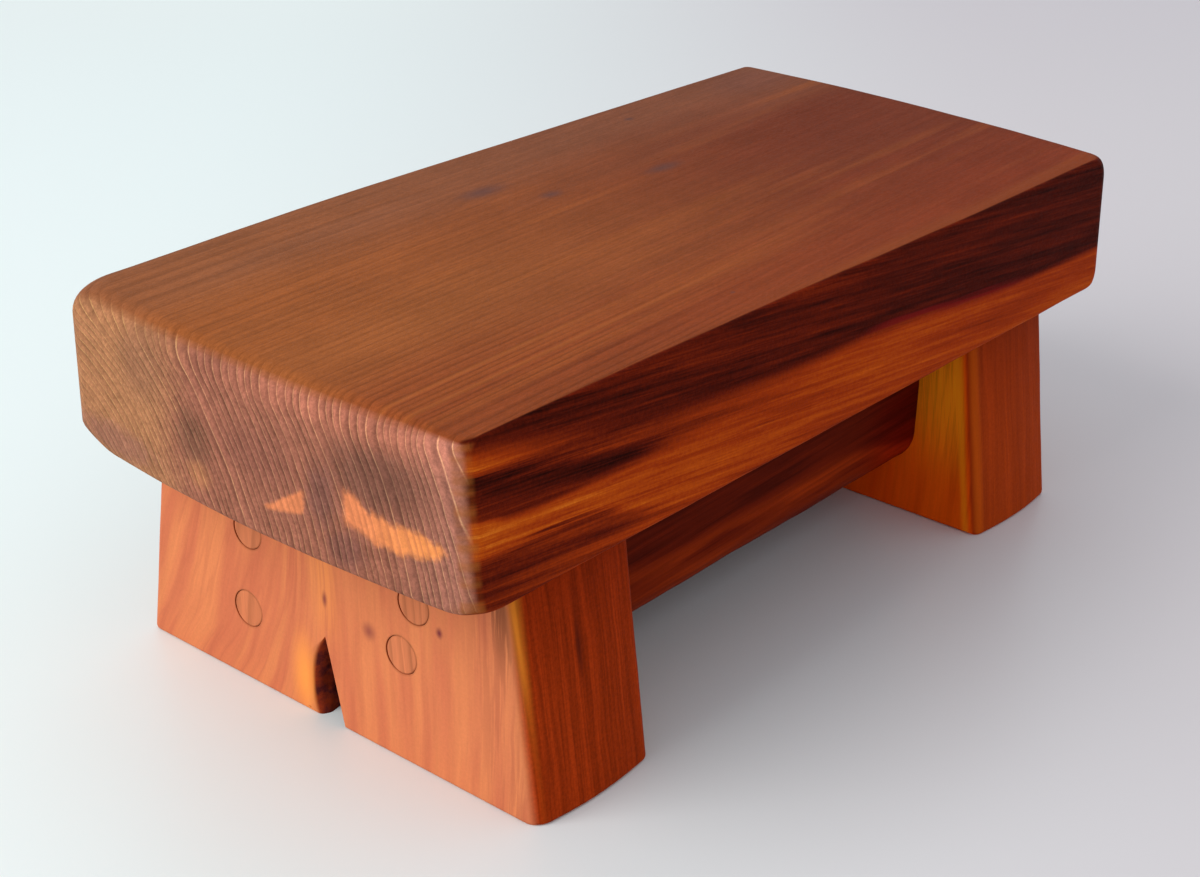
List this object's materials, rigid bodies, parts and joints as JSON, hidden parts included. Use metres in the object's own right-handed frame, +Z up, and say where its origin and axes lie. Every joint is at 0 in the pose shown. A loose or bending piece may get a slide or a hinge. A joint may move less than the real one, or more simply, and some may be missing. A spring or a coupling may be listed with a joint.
{
  "type": "footstool",
  "caption": "Low wooden footstool: a thick slab seat with eased edges on two tapered board legs tied by rails, with plugged screws.",
  "frame": {"origin": "on the floor under the middle of the seat", "axes": "+X along the seat from the leg with the notch to the other leg, +Y from the seat's front to its back, +Z up"},
  "size_m": [0.368, 0.1806, 0.134],
  "materials": {
    "seat_timber": "oiled reddish brown softwood, satin",
    "leg_timber": "oiled orange softwood, satin",
    "far_leg_timber": "oiled orange brown softwood, satin",
    "rail_timber": "oiled dark red softwood, satin",
    "plug_timber": "oiled orange brown softwood, satin",
    "dowel_timber": "bare pale hardwood",
    "zinced_steel": "zinc-plated"
  },
  "bodies": {
    "root": {"seat_slab": "seat_timber", "left_leg": "leg_timber", "right_leg": "far_leg_timber", "front_rail": "rail_timber", "back_rail": "rail_timber", "left_front_upper_plug": "plug_timber", "left_front_lower_plug": "plug_timber", "left_back_upper_plug": "plug_timber", "left_back_lower_plug": "plug_timber", "right_front_upper_plug": "plug_timber", "right_front_lower_plug": "plug_timber", "right_back_upper_plug": "plug_timber", "right_back_lower_plug": "plug_timber", "left_front_upper_screw": "zinced_steel", "left_front_lower_screw": "zinced_steel", "left_back_upper_screw": "zinced_steel", "left_back_lower_screw": "zinced_steel", "right_front_upper_screw": "zinced_steel", "right_front_lower_screw": "zinced_steel", "right_back_upper_screw": "zinced_steel", "right_back_lower_screw": "zinced_steel", "left_front_dowel": "dowel_timber", "left_back_dowel": "dowel_timber", "right_front_dowel": "dowel_timber", "right_back_dowel": "dowel_timber"}
  },
  "joints": []
}
